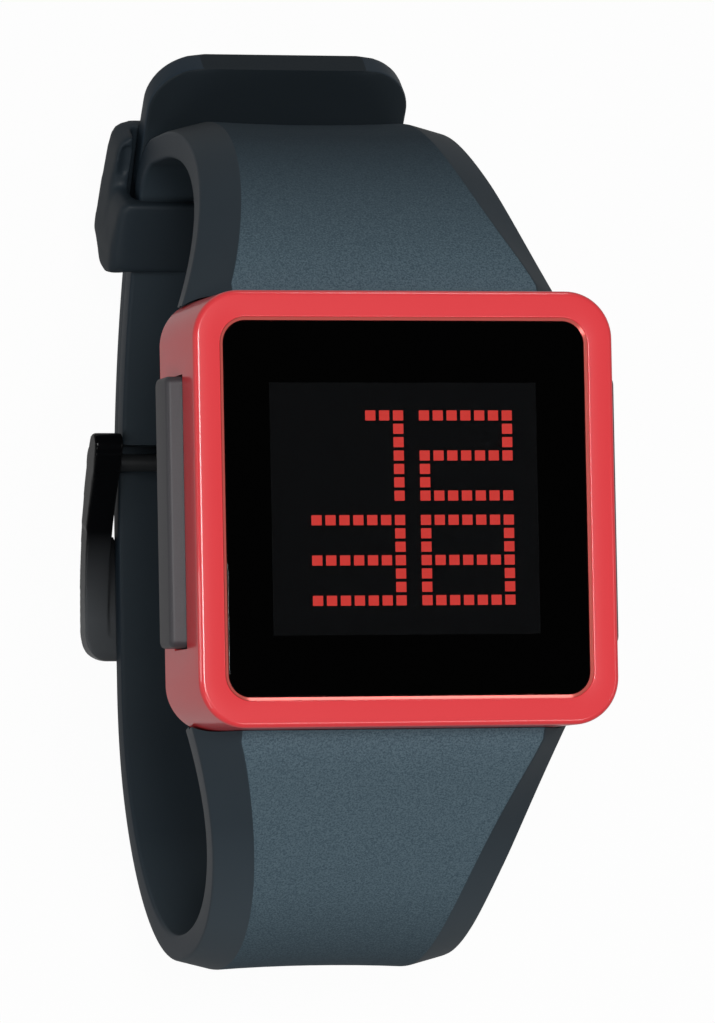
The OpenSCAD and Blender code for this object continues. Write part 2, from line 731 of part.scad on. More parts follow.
// The plan of the keeper seen square to the lap, narrower towards the tail's tip, with round corners
module keeper_plan(a) {
    l = lap_r * a * PI / 360;
    w0 = keeper_in_w + keeper_side_t;
    w1 = w0 - keeper_taper * a / keeper_plate;
    r = keeper_corner_r;
    translate([0, lap_y, lap_z]) rotate([keeper_at + a / 2, 0, 0]) translate([0, 0, -lap_r - 20])
        linear_extrude(40) {
            polygon([[-w0, r - l], [-w1, l - r], [w1, l - r], [w0, r - l]]);
            polygon([[r - w0, -l], [r - w1, l], [w1 - r, l], [w0 - r, -l]]);
            for (x = [-1, 1]) {
                translate([x * (w0 - r), r - l]) circle(r);
                translate([x * (w1 - r), l - r]) circle(r);
            }
        }
}

// The keeper's section as radius and X between two radii, with round corners
module keeper_section(r0, r1, hx, r) {
    translate([(r0 + r1) / 2, 0]) rounded((r1 - r0) / 2, hx, r);
}

module keeper() {
    out = keeper_in_w + keeper_side_t;
    outer_edge_r = 1.2;
    inner_edge_r = 1;
    relief = 1;
    past_band = 0.9;
    plate_r = lap_r + room;
    band_r = short_in_r - room;
    step_r = tail_in_r;
    color("#4A545C") difference() {
        intersection() {
            union() {
                intersection() {
                    keeper_plan(keeper_plate);
                    on_lap(keeper_at - 1, keeper_plate + 2) translate([step_r, -out - 1])
                        square([plate_r + keeper_t - step_r + 1, 2 * out + 2]);
                }
                intersection() {
                    keeper_plan(keeper_band);
                    on_lap(keeper_at - 1, keeper_band + past_band)
                        translate([band_r - keeper_t - 1, -out - 1])
                            square([step_r - band_r + keeper_t + 1, 2 * out + 2]);
                }
            }
            on_lap(keeper_at - 4, keeper_plate + 8)
                keeper_section(band_r - keeper_t, plate_r + keeper_t, out + fit, outer_edge_r);
        }
        on_lap(keeper_at - 5, keeper_plate + 10) translate([step_r - 1, -tail_w - 2 * room])
            square([plate_r - step_r + 1, 2 * (tail_w + 2 * room)]);
        on_lap(keeper_at - 5, keeper_band + 5) keeper_section(band_r, plate_r, keeper_in_w, inner_edge_r);
        for (x = [-1, 1]) translate([0, lap_y, lap_z])
            rotate([keeper_at + (keeper_band + keeper_plate) / 2, 0, 0])
                translate([x * (keeper_in_w + relief / 2), 0, -step_r])
                    cube([relief, 3 * relief, relief], center = true);
        translate([-case_w / 2, lap_y, lap_z]) rotate([keeper_at, 0, 0]) translate([0, 0, 2 * room - lap_r])
            rotate([-keeper_slope, 0, 0]) translate([0, -5, -5]) cube([case_w, 15, 5]);
    }
}

module buckle_pin() {
    color("#26282A") x_rod(pin_d, -frame_out_w + 0.5, frame_out_w - 0.5, pin_y, pin_z);
}

// The arc of the frame's arms in Y and Z, from the bar past the pin to the arms' round ends
module arm_profile() {
    past_a = frame_past / arm_r * 180 / PI;
    span_a = 2 * asin(arm_chord / 2 / arm_r);
    translate([pin_y, pin_z]) rotate(arm_dir) translate([-arm_chord / 2, arm_r - frame_bow]) {
        intersection() {
            difference() {
                circle(arm_r + frame_t / 2, $fn = 720);
                circle(arm_r - frame_t / 2, $fn = 720);
            }
            polygon([[0, 0], 2 * arm_r * [-sin(span_a / 2), -cos(span_a / 2)],
                2 * arm_r * [sin(span_a / 2 + past_a), -cos(span_a / 2 + past_a)]]);
        }
        for (a = [-span_a / 2, span_a / 2 + past_a])
            translate(arm_r * [sin(a), -cos(a)]) circle(d = frame_t - 2 * eps);
    }
    translate([pin_y, pin_z]) circle(d = eye_d);
}

// What a round corner takes off a plan whose corner lies at x, y seen from its middle
module corner_off(x, y, r) {
    translate([x, y]) difference() {
        square(2 * r, center = true);
        translate([-sign(x) * r, -sign(y) * r]) circle(r);
    }
}

// The plan of the frame, narrower towards its far bar
module frame_plan() {
    y0 = bar_y - frame_t / 2 + play;
    y1 = pin_y + frame_past + frame_t / 2 - fit;
    w0 = frame_out_w - frame_taper;
    w1 = frame_out_w;
    arm_end_r = 0.8;
    difference() {
        polygon([[-w0, y0], [-w1, y1], [w1, y1], [w0, y0]]);
        for (x = [-1, 1]) {
            corner_off(x * w0, y0, frame_corner_r);
            corner_off(x * w1, y1, arm_end_r);
        }
    }
}

module buckle_frame() {
    color("#131417") difference() {
        intersection() {
            difference() {
                along_x(-frame_out_w - fit, frame_out_w + fit) arm_profile();
                translate([-frame_in_w, bar_y + frame_t / 2, bar_z - 10])
                    cube([2 * frame_in_w, 2 * arm_chord, 30]);
            }
            translate([0, 0, bar_z - 10]) linear_extrude(30) frame_plan();
        }
        x_rod(pin_d, -frame_out_w + 0.5, frame_out_w - 0.5, pin_y, pin_z);
        translate([-notch_w / 2, bar_y - frame_t, bar_z - frame_t])
            cube([notch_w, 2 * frame_t, frame_t + room]);
    }
}

// A bar of the tongue's thickness between two points in Y and Z
module leg(p, q) {
    d = q - p;
    translate(p) rotate(atan2(d[1], d[0])) translate([0, -tongue_t / 2]) square([norm(d), tongue_t]);
    translate(q) circle(d = tongue_t - 2 * eps);
}

module buckle_tongue() {
    color("#1A1B1E") difference() {
        along_x(-tongue_w / 2, tongue_w / 2) {
            translate([pin_y, pin_z]) circle(d = tongue_eye_d);
            leg([pin_y, pin_z], elbow);
            leg(elbow, tongue_tip);
        }
        x_rod(pin_d + 2 * play, -tongue_w, tongue_w, pin_y, pin_z);
    }
}

shell();
inner_case();
crystal();
crystal_seal();
dial_mask();
display_panel();
led_digits();
display_board();
display_connector();
module_frame();
main_board();
controller_chip();
quartz_can();
battery();
battery_clip();
left_button();
left_button_clips();
left_button_seals();
left_contacts();
right_button();
right_button_clips();
right_button_seals();
right_contacts();
back_gasket();
case_back();
case_back_screws();
upper_strap();
lower_strap();
upper_spring_bar();
lower_spring_bar();
keeper();
buckle_pin();
buckle_frame();
buckle_tongue();
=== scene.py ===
import math

import bmesh
import bpy
from mathutils import Matrix, Vector


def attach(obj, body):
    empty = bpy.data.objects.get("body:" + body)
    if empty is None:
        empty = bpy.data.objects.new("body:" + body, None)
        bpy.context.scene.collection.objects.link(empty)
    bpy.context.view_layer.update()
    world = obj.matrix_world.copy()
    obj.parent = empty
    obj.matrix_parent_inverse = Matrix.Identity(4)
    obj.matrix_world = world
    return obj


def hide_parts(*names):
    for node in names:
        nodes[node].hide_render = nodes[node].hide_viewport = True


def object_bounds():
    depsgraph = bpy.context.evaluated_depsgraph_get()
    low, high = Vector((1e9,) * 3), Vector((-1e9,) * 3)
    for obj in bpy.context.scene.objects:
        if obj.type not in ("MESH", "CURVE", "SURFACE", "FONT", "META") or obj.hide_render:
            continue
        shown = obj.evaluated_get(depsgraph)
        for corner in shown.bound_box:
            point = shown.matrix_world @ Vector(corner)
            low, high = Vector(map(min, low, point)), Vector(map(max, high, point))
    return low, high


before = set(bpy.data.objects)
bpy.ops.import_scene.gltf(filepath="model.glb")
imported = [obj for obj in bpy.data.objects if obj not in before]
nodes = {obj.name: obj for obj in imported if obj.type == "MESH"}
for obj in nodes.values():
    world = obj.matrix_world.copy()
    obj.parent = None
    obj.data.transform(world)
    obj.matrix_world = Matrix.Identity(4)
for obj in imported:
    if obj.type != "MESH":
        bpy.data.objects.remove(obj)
cad_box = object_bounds()

# The camera stands where the photograph was taken from: in front of the dial, a little to
# the left of it and below it, with a long lens. The watch lies dial up, 12 o'clock at the top.
yaw, pitch, roll = math.radians(-15.817), math.radians(-3.185), math.radians(-1.087)
back = Vector((math.sin(yaw) * math.cos(pitch), math.sin(pitch), math.cos(yaw) * math.cos(pitch)))
level = Vector((math.cos(yaw), 0, -math.sin(yaw)))
up = back.cross(level)
right = math.cos(roll) * level + math.sin(roll) * up
upright = -math.sin(roll) * level + math.cos(roll) * up
aside, below, distance = -4.4, -0.309, 696
dial_middle = Vector((0, 0, 12.6))
place = (aside * right + below * upright + distance * back + dial_middle) / 1000
camera = bpy.data.objects.new("camera", bpy.data.cameras.new("camera"))
camera.matrix_world = Matrix(((right.x, upright.x, back.x, place.x),
                              (right.y, upright.y, back.y, place.y),
                              (right.z, upright.z, back.z, place.z), (0, 0, 0, 1)))
# the lens as measured from the photograph: a focal length of 8000 of its pixels, on 1023 of them
camera.data.sensor_width = 36
camera.data.lens = 36 * 8000 / 1023
camera.data.clip_start = 0.01
bpy.context.scene.collection.objects.link(camera)
bpy.context.scene.camera = camera
bpy.context.scene.view_settings.view_transform = "Standard"


# The floor is a plain white studio table that the watch lies on. It shows as white paper,
# and keeps a soft shadow under the strap.
def linear(code):
    """An sRGB hex colour as linear red, green, blue and alpha."""
    parts = [int(code[i:i + 2], 16) / 255 for i in (1, 3, 5)]
    return [c / 12.92 if c <= 0.04045 else ((c + 0.055) / 1.055) ** 2.4 for c in parts] + [1]


def add(tree, kind, inputs={}, **settings):
    """Adds a shader or geometry node with its settings, and its values or links."""
    node = tree.nodes.new(kind)
    for key, value in settings.items():
        setattr(node, key, value)
    for key, value in inputs.items():
        if isinstance(value, bpy.types.NodeSocket):
            tree.links.new(value, node.inputs[key])
        else:
            node.inputs[key].default_value = value
    return node


def start(name):
    """An empty material, its tree and its output node."""
    made = bpy.data.materials.new(name)
    made.use_nodes = True
    made.node_tree.nodes.clear()
    return made, made.node_tree, made.node_tree.nodes.new("ShaderNodeOutputMaterial")


def piece(name, points, faces, materials, smooth=35):
    """A mesh object at the origin from points in millimetres."""
    data = bpy.data.meshes.new(name)
    data.from_pydata([(x / 1000, y / 1000, z / 1000) for x, y, z in points], [], faces)
    data.validate()
    for material in materials:
        data.materials.append(material)
    made = bpy.data.objects.new(name, data)
    bpy.context.scene.collection.objects.link(made)
    if smooth:
        shade(made, smooth)
    return made


def shade(made, angle):
    """Smooth shading that keeps edges sharper than the angle, in degrees."""
    for polygon in made.data.polygons:
        polygon.use_smooth = True
    made.data.set_sharp_from_angle(angle=math.radians(angle))


floor_z = cad_box[0][2] * 1000 - 0.02
reach = 3000
floor = piece("table_top", [(-reach, -reach, floor_z), (reach, -reach, floor_z), (reach, reach, floor_z),
                            (-reach, reach, floor_z)], [(0, 1, 2, 3)], [], 0)
# matt white paper: it shows plain white all over, and darkens a little only in the shadow
white_paper, tree, out = start("white_paper")
path = add(tree, "ShaderNodeLightPath")
seen = add(tree, "ShaderNodeMath", {0: path.outputs["Is Camera Ray"],
                                    1: path.outputs["Is Transmission Ray"]}, operation="MAXIMUM")
# the watch's mirrors see a dimmer sheet, so its dark pieces stay dark
mirrored = add(tree, "ShaderNodeMath", {0: path.outputs["Is Glossy Ray"], 1: 0.22}, operation="MULTIPLY")
paper = add(tree, "ShaderNodeBsdfDiffuse", {"Color": linear("#8E8E8E")})
glow = add(tree, "ShaderNodeEmission", {"Color": (1, 1, 1, 1), "Strength": 1.04})
share = add(tree, "ShaderNodeMath", {0: seen.outputs[0], 1: 0.93}, operation="MULTIPLY")
share = add(tree, "ShaderNodeMath", {0: share.outputs[0], 1: mirrored.outputs[0]}, operation="MAXIMUM")
both = add(tree, "ShaderNodeMixShader", {0: share.outputs[0], 1: paper.outputs[0], 2: glow.outputs[0]})
tree.links.new(both.outputs[0], out.inputs["Surface"])
floor.data.materials.append(white_paper)

# The studio is a dim grey room that shows as white behind the watch. One softbox hangs over
# the dial, three weaker ones stand low in front and at the sides, and two narrow strips at
# the left and beyond 12 o'clock draw fine lines on the bezel's edges.
world = bpy.data.worlds.new("studio")
world.use_nodes = True
bpy.context.scene.world = world
tree = world.node_tree
tree.nodes.clear()
path = add(tree, "ShaderNodeLightPath")
through = add(tree, "ShaderNodeMath", {0: path.outputs["Is Transmission Ray"], 1: 0.3},
              operation="MULTIPLY")
seen = add(tree, "ShaderNodeMath", {0: path.outputs["Is Camera Ray"], 1: through.outputs[0]},
           operation="MAXIMUM")
# mirrors see walls that are grey at the level of the table and dark above
way = add(tree, "ShaderNodeSeparateXYZ", {0: add(tree, "ShaderNodeTexCoord").outputs["Generated"]})
height = add(tree, "ShaderNodeMapRange", {"Value": way.outputs["Z"], "From Min": 0.0, "From Max": 0.5,
                                          "To Min": 0.12, "To Max": 0.02})
mirror_level = add(tree, "ShaderNodeMix", {"Factor": path.outputs["Is Glossy Ray"], 2: 0.11,
                                           3: height.outputs[0]})
total = add(tree, "ShaderNodeMix", {"Factor": seen.outputs[0], 2: mirror_level.outputs[0], 3: 1.0})
room = add(tree, "ShaderNodeBackground", {"Color": (1, 1, 1, 1), "Strength": total.outputs[0]})
tree.links.new(room.outputs[0], add(tree, "ShaderNodeOutputWorld").inputs[0])


def softbox(name, at, width, height, power):
    """A studio lamp at a place in millimetres that faces the watch."""
    lamp = bpy.data.objects.new(name, bpy.data.lights.new(name, "AREA"))
    lamp.data.shape = "RECTANGLE"
    lamp.data.size = width / 1000
    lamp.data.size_y = height / 1000
    lamp.data.energy = power
    lamp.location = Vector(at) / 1000
    lamp.rotation_euler = (Vector((0, 0, -0.01)) - lamp.location).to_track_quat("-Z", "Y").to_euler()
    bpy.context.scene.collection.objects.link(lamp)


softbox("key_softbox", (-110, 40, 780), 180, 220, 3.4)
softbox("low_softbox", (200, -350, 640), 260, 160, 0.9)
softbox("left_low_softbox", (-420, -330, 520), 200, 160, 0.7)
softbox("right_softbox", (520, -60, 500), 200, 260, 0.4)
softbox("left_strip", (-600, 0, 170), 40, 500, 0.5)
softbox("top_strip", (195, 600, 260), 70, 300, 0.5)


# The case shell is one red piece of aluminium: bezel and four side walls. It is milled, bead
# blasted and anodised, so it is satin, with a bright line on the rounded front edge.
def ring(h, r, z, steps=16):
    """Points of a square with round corners, at half side h, radius r and height z."""
    found = []
    for turn, (sx, sy) in enumerate(((1, 1), (-1, 1), (-1, -1), (1, -1))):
        for i in range(steps + 1):
            a = math.radians(90 * (turn + i / steps))
            found.append((sx * (h - r) + r * math.cos(a), sy * (h - r) + r * math.sin(a), z))
    return found


def stack(name, rings, materials, smooth=35, close=False):
    """Joins rings of equal length by quads, with a cap at each end or closed on themselves."""
    n = len(rings[0])
    points = [p for each in rings for p in each]
    faces = []
    for i in range(len(rings) if close else len(rings) - 1):
        j = (i + 1) % len(rings)
        for k in range(n):
            m = (k + 1) % n
            faces.append((i * n + k, i * n + m, j * n + m, j * n + k))
    if not close:
        faces.append(tuple(reversed(range(n))))
        faces.append(tuple(range((len(rings) - 1) * n, len(rings) * n)))
    return piece(name, points, faces, materials, smooth)


def block(name, low, high):
    """A plain block that only cuts another piece."""
    (x0, y0, z0), (x1, y1, z1) = low, high
    return stack(name, [[(x0, y0, z), (x1, y0, z), (x1, y1, z), (x0, y1, z)] for z in (z0, z1)], [], 0)


def rod(name, radius, x0, x1, y, z, steps=40):
    """A round bar along X."""
    turns = [2 * math.pi * i / steps for i in range(steps)]
    return stack(name, [[(x, y + radius * math.cos(a), z + radius * math.sin(a)) for a in turns]
                        for x in (x0, x1)], [], 0)


def cut(made, tools, operation="DIFFERENCE"):
    """Cuts tools out of a piece, or adds them to it, and removes them."""
    for tool in tools:
        step = made.modifiers.new("cut", "BOOLEAN")
        step.operation = operation
        step.object = tool
        step.solver = "EXACT"
        bpy.context.view_layer.update()
        seen = made.evaluated_get(bpy.context.evaluated_depsgraph_get())
        result = bpy.data.meshes.new_from_object(seen)
        made.modifiers.remove(step)
        made.data = result
        bpy.data.objects.remove(tool)


half, corner, bezel, window_r = 19, 4.15, 2.35, 2.3
wall, front, foot, edge, lip = 1.4, 12.6, 0.6, 0.5, 0.12
ledge_z = 11.2
lug_x, lug_half, lug_top = 12.1, 1.2, 4.1
slot_y, slot_low, slot_high = 11.95, 4.15, 8.45
section = [(half - wall, corner - wall, foot + 0.1), (half - wall + 0.1, corner - wall + 0.1, foot)]
section += [(half - 0.15, corner - 0.15, foot), (half, corner, foot + 0.15)]
for i in range(9):
    a = math.radians(90 * i / 8)
    section.append((half - edge + edge * math.cos(a), corner - edge + edge * math.cos(a),
                    front - edge + edge * math.sin(a)))
for i in range(5):
    a = math.radians(90 * i / 4)
    section.append((half - bezel + lip - lip * math.sin(a), window_r + lip - lip * math.sin(a),
                    front - lip + lip * math.cos(a)))
section += [(half - bezel, window_r, ledge_z), (half - wall, corner - wall, ledge_z)]
shell = stack("case_shell", [ring(h, r, z, 20) for h, r, z in section], [], 0, True)
# a slot for each button, and a notch for each of the four lugs
cuts = [block("slot", (x - 2.8, -slot_y, slot_low), (x + 2.8, slot_y, slot_high)) for x in (-half, half)]
cuts += [block("notch", (x - lug_half, y - 2.5, -0.5), (x + lug_half, y + 2.5, lug_top))
         for x in (-lug_x, lug_x) for y in (-18.5, 18.5)]
cut(shell, cuts)
shade(shell, 30)
# blasted and dyed aluminium: an even satin red, with wide soft lights and a fine line at each edge
anodised_red, tree, out = start("anodised_aluminium_red")
where = add(tree, "ShaderNodeTexCoord").outputs["Object"]
# bead blasting leaves a grain of about 0.06 mm; it is drawn at 0.12 mm so that it shows
grain = add(tree, "ShaderNodeTexNoise", {"Vector": where, "Scale": 8000, "Detail": 2})
clouds = add(tree, "ShaderNodeTexNoise", {"Vector": where, "Scale": 40, "Detail": 2})
tint = add(tree, "ShaderNodeMix", {"Factor": clouds.outputs["Fac"], 6: linear("#DE3D42"),
                                   7: linear("#E24147")}, data_type="RGBA")
rough = add(tree, "ShaderNodeMapRange", {"Value": grain.outputs["Fac"], "To Min": 0.27, "To Max": 0.31})
bump = add(tree, "ShaderNodeBump", {"Height": grain.outputs["Fac"], "Strength": 0.02,
                                    "Distance": 0.00002})
# the dyed oxide mirrors less than bare metal, and its sealed skin adds a thin clear coat
skin = add(tree, "ShaderNodeBsdfPrincipled", {
    "Base Color": tint.outputs[2], "Roughness": rough.outputs[0], "Specular IOR Level": 0.2773,
    "Coat Weight": 0.4, "Coat Roughness": 0.05, "Normal": bump.outputs[0]})
tree.links.new(skin.outputs[0], out.inputs["Surface"])
shell.data.materials.append(anodised_red)
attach(shell, "watch")
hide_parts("shell")
# the window's edge is cut and polished after the blasting: its flank mirrors the studio, so a
# thin peach line runs below the glass
edge_cut = [(16.38, 2.03, 12.41), (16.64, 2.29, 12.41), (16.64, 2.29, 12.57)]
bright_edge = stack("window_edge", [ring(h, r, z, 20) for h, r, z in edge_cut], [], 20, True)
cut_metal, tree, out = start("polished_anodised_window_edge")
where = add(tree, "ShaderNodeTexCoord").outputs["Object"]
# the cutter leaves lines of about 0.05 mm
lines = add(tree, "ShaderNodeTexNoise", {"Vector": where, "Scale": 20000, "Detail": 1})
rough = add(tree, "ShaderNodeMapRange", {"Value": lines.outputs["Fac"], "To Min": 0.16, "To Max": 0.3})
skin = add(tree, "ShaderNodeBsdfPrincipled", {"Base Color": linear("#E86A62"), "Metallic": 0.4,
                                              "Roughness": rough.outputs[0]})
tree.links.new(skin.outputs[0], out.inputs["Surface"])
bright_edge.data.materials.append(cut_metal)
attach(bright_edge, "watch")

# The glass is a flat pane of smoke tinted mineral glass, sunk 0.2 mm into the bezel. Its
# front edge is ground to a narrow bevel that catches the light.
pane_half, pane_r, bevel = 16.55, 2.2, 0.3
pane = [(pane_half - b, pane_r - b, z)
        for b, z in ((0, 11.4), (0, 12.1), (0.03, 12.14), (0.26, 12.37), (bevel, 12.4))]
glass = stack("glass_pane", [ring(h, r, z, 16) for h, r, z in pane], [], 20)
# smoke tinted mineral glass: clear and very smooth, so what lies under it shows darker, below a
# clean mirror of the room
smoke_glass, tree, out = start("mineral_glass_smoke")
skin = add(tree, "ShaderNodeBsdfPrincipled", {"Base Color": linear("#8C9096"), "Roughness": 0.02,
                                              "IOR": 1.5, "Transmission Weight": 1.0})
tree.links.new(skin.outputs[0], out.inputs["Surface"])
glass.data.materials.append(smoke_glass)
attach(glass, "watch")
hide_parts("crystal")

# The mask is a black layer printed on the back of the glass, open over the display. It is
# matt and deep black; the display shows a little lighter in its opening.
def dress(name, material):
    """Gives a carried-over node its material."""
    nodes[name].data.materials.clear()
    nodes[name].data.materials.append(material)


def solid(name, code, roughness, scale_mm, other, amount=0.5, **skin_inputs):
    """A material of two near shades in fine clouds, of a real grain size."""
    made, tree, out = start(name)
    where = add(tree, "ShaderNodeTexCoord").outputs["Object"]
    noise = add(tree, "ShaderNodeTexNoise", {"Vector": where, "Scale": 1000 / scale_mm, "Detail": 3})
    shade_of = add(tree, "ShaderNodeMix", {"Factor": noise.outputs["Fac"], 6: linear(code),
                                           7: linear(other)}, data_type="RGBA")
    rough = add(tree, "ShaderNodeMapRange", {"Value": noise.outputs["Fac"],
                                             "To Min": roughness * (1 - 0.2 * amount),
                                             "To Max": roughness * (1 + 0.2 * amount)})
    grain = add(tree, "ShaderNodeBump", {"Height": noise.outputs["Fac"], "Strength": 0.12 * amount,
                                         "Distance": scale_mm / 10000})
    values = {"Base Color": shade_of.outputs[2], "Roughness": rough.outputs[0],
              "Normal": grain.outputs[0]}
    values.update({key.replace("_", " "): value for key, value in skin_inputs.items()})
    skin = add(tree, "ShaderNodeBsdfPrincipled", values)
    tree.links.new(skin.outputs[0], out.inputs["Surface"])
    return made


# screen printed ink: dead black, with the screen's faint unevenness
printed_black = solid("screen_printed_ink_black", "#030304", 0.6, 0.5, "#050507")
dress("dial_mask", printed_black)

# The display is a dot panel with a dark filter, lit from behind. Its unlit face is a very dark
# grey with the weave of its dots; it is glued to the board under the glass.

# dark filter film: a dull near black, just lighter than the mask, with a faint net of dots
filter_film, tree, out = start("display_filter_film")
where = add(tree, "ShaderNodeTexCoord").outputs["Object"]
split = add(tree, "ShaderNodeSeparateXYZ", {0: where})
# the unlit dots have the pitch of the lit ones
pitch_x, pitch_y = 1.258, 1.168
across = add(tree, "ShaderNodeMath", {0: split.outputs["X"], 1: 1000 / pitch_x}, operation="MULTIPLY")
along = add(tree, "ShaderNodeMath", {0: split.outputs["Y"], 1: 1000 / pitch_y}, operation="MULTIPLY")
column = add(tree, "ShaderNodeMath", {0: across.outputs[0], 1: 0.5}, operation="PINGPONG")
row = add(tree, "ShaderNodeMath", {0: along.outputs[0], 1: 0.5}, operation="PINGPONG")
cell = add(tree, "ShaderNodeMath", {0: column.outputs[0], 1: row.outputs[0]}, operation="MINIMUM")
unlit = add(tree, "ShaderNodeMath", {0: cell.outputs[0], 1: 0.12}, operation="GREATER_THAN")
face = add(tree, "ShaderNodeMix", {"Factor": unlit.outputs[0], 6: linear("#06080A"),
                                   7: linear("#080A0C")}, data_type="RGBA")
skin = add(tree, "ShaderNodeBsdfPrincipled", {"Base Color": face.outputs[2], "Roughness": 0.8,
                                              "Specular IOR Level": 0.0})
tree.links.new(skin.outputs[0], out.inputs["Surface"])
dress("display_panel", filter_film)


# The lit dots are square windows of the panel with a red diode behind each. They make four
# seven-bar figures of seven by seven dots, and glow evenly with a thin dark gap between them.
def group(name, sizes):
    """An empty geometry tree with a mesh in, named sizes and a mesh out."""
    tree = bpy.data.node_groups.new(name, "GeometryNodeTree")
    tree.interface.new_socket("Geometry", in_out="INPUT", socket_type="NodeSocketGeometry")
    for label, value in sizes.items():
        socket = tree.interface.new_socket(label, in_out="INPUT", socket_type="NodeSocketFloat")
        socket.default_value = value
    tree.interface.new_socket("Geometry", in_out="OUTPUT", socket_type="NodeSocketGeometry")
    return tree, tree.nodes.new("NodeGroupInput"), tree.nodes.new("NodeGroupOutput")


def grown(name, points, tree, sizes):
    """Runs a geometry tree on loose points in millimetres and returns a plain mesh object."""
    seed = piece(name + "_places", points, [], [], 0)
    step = seed.modifiers.new("grow", "NODES")
    step.node_group = tree
    for socket in tree.interface.items_tree:
        if socket.item_type == "SOCKET" and socket.in_out == "INPUT" and socket.name in sizes:
            step[socket.identifier] = sizes[socket.name]
    bpy.context.view_layer.update()
    seen = seed.evaluated_get(bpy.context.evaluated_depsgraph_get())
    data = bpy.data.meshes.new_from_object(seen)
    made = bpy.data.objects.new(name, data)
    bpy.context.scene.collection.objects.link(made)
    bpy.data.objects.remove(seed)
    return made


bars = {1: "bcx", 2: "abged", 3: "abgcd", 8: "abcdefg"}


def lit(digit, row, col):
    """Whether a digit lights the dot at a row and column."""
    on = bars[digit]
    return (("a" in on and row == 0) or ("g" in on and row == 3) or ("d" in on and row == 6)
            or ("x" in on and row == 0 and col > 3) or ("f" in on and col == 0 and row <= 3)
            or ("e" in on and col == 0 and row >= 3) or ("b" in on and col == 6 and row <= 3)
            or ("c" in on and col == 6 and row >= 3))


digit_x, digit_y = 9.9, 9.13
middle_x, middle_y, dot_z = 0.76, 0.08, 11.1
places = [(middle_x + (i % 2 - 0.5) * digit_x + (col - 3) * pitch_x,
           middle_y + (0.5 - i // 2) * digit_y + (3 - row) * pitch_y, dot_z)
          for i, digit in enumerate((1, 2, 3, 8)) for row in range(7) for col in range(7)
          if lit(digit, row, col)]
# red diode window: an even flat glow that stays red through the smoke of the glass
red_dot, tree, out = start("lit_diode_window_red")
where = add(tree, "ShaderNodeTexCoord").outputs["Object"]
# each diode differs a little from the next, over about the pitch of the dots
spread = add(tree, "ShaderNodeTexNoise", {"Vector": where, "Scale": 900, "Detail": 1})
red = add(tree, "ShaderNodeMix", {"Factor": spread.outputs["Fac"], 6: linear("#D2382F"),
                                  7: linear("#D94038")}, data_type="RGBA")
lamp = add(tree, "ShaderNodeEmission", {"Color": red.outputs[2], "Strength": 3.4})
tree.links.new(lamp.outputs[0], out.inputs["Surface"])
dot_size = {"Dot width": 0.00087, "Dot height": 0.0002}
tree, given, result = group("dot_grid", dot_size)
size = add(tree, "ShaderNodeCombineXYZ", {
    "X": given.outputs["Dot width"], "Y": given.outputs["Dot width"], "Z": given.outputs["Dot height"]})
cube = add(tree, "GeometryNodeMeshCube", {"Size": size.outputs[0]})
dots = add(tree, "GeometryNodeInstanceOnPoints", {"Points": given.outputs["Geometry"],
                                                  "Instance": cube.outputs["Mesh"]})
real = add(tree, "GeometryNodeRealizeInstances", {"Geometry": dots.outputs[0]})
done = add(tree, "GeometryNodeSetMaterial", {"Geometry": real.outputs[0], "Material": red_dot})
tree.links.new(done.outputs[0], result.inputs[0])
digits = grown("lit_digits", places, tree, dot_size)
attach(digits, "watch")
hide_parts("led_digits")

# The inner case is moulded in glass-filled black nylon. It carries the lugs, the buttons'
# recesses and the movement, and is snapped into the shell; a foam ring seals it to the glass.

# moulded nylon with glass fibre: a flat black with a faint mottle
nylon_black = solid("glass_filled_nylon_black", "#1B1D1F", 0.5, 0.4, "#212326")
dress("inner_case", nylon_black)
# cut foam: no shine at all, and a finely pitted grain
foam_black = solid("closed_cell_foam_black", "#141618", 0.9, 0.25, "#1B1D20", 1.5)
dress("crystal_seal", foam_black)
dress("back_gasket", foam_black)

# The movement: two circuit boards of green glass epoxy in a grey moulded frame, a connector
# between them, a chip, a quartz can, a coin cell and its spring clip.

# solder mask over glass epoxy: a smooth deep green, shinier than plastic, slightly cloudy
board_green = solid("solder_masked_board_green", "#14502D", 0.4, 1.5, "#1B6238")
dress("display_board", board_green)
dress("main_board", board_green)
# pressed elastomer: pale, dull grey in fine bands
elastomer_grey = solid("striped_elastomer_grey", "#B4B7BA", 0.6, 0.3, "#8E9296")
dress("display_connector", elastomer_grey)
# moulded polycarbonate: an even dark grey with a low sheen
frame_plastic = solid("moulded_polycarbonate_grey", "#2A2D31", 0.5, 0.5, "#30343A")
dress("module_frame", frame_plastic)
# moulded epoxy: black with a sandy, half matt face
epoxy_black = solid("moulded_epoxy_black", "#151617", 0.55, 0.2, "#1C1E20")
dress("controller_chip", epoxy_black)
# drawn nickel silver: a bright, slightly warm mirror, softened by drawing
tin_can = solid("drawn_nickel_silver", "#B4B8BC", 0.3, 0.6, "#C2C5C8", Metallic=1.0)
dress("quartz_can", tin_can)
# plated steel: the brightest metal here, with a clean broad shine
cell_steel = solid("plated_steel_cell", "#C5C8CB", 0.28, 0.8, "#D2D4D6", Metallic=1.0)
dress("battery", cell_steel)
# rolled spring steel: a greyer, more even shine than the cell's
spring_steel = solid("rolled_spring_steel", "#9A9EA2", 0.35, 0.3, "#AEB2B6", Metallic=1.0)
for name in ("battery_clip", "left_button_clips", "right_button_clips"):
    dress(name, spring_steel)
# gilt brass: a warm yellow shine that marks the contacts
brass = solid("gilt_spring_brass", "#C29A42", 0.3, 0.4, "#CDA850", Metallic=1.0)
dress("left_contacts", brass)
dress("right_contacts", brass)
# nitrile rubber: soft black that takes no highlight
seal_rubber = solid("nitrile_rubber_black", "#191B1C", 0.8, 0.3, "#202224")
dress("left_button_seals", seal_rubber)
dress("right_button_seals", seal_rubber)

# The case back is a stamped steel plate, brushed along 12 to 6 o'clock, held by four slotted
# screws. The spring bars in the strap's ends are turned from the same steel.

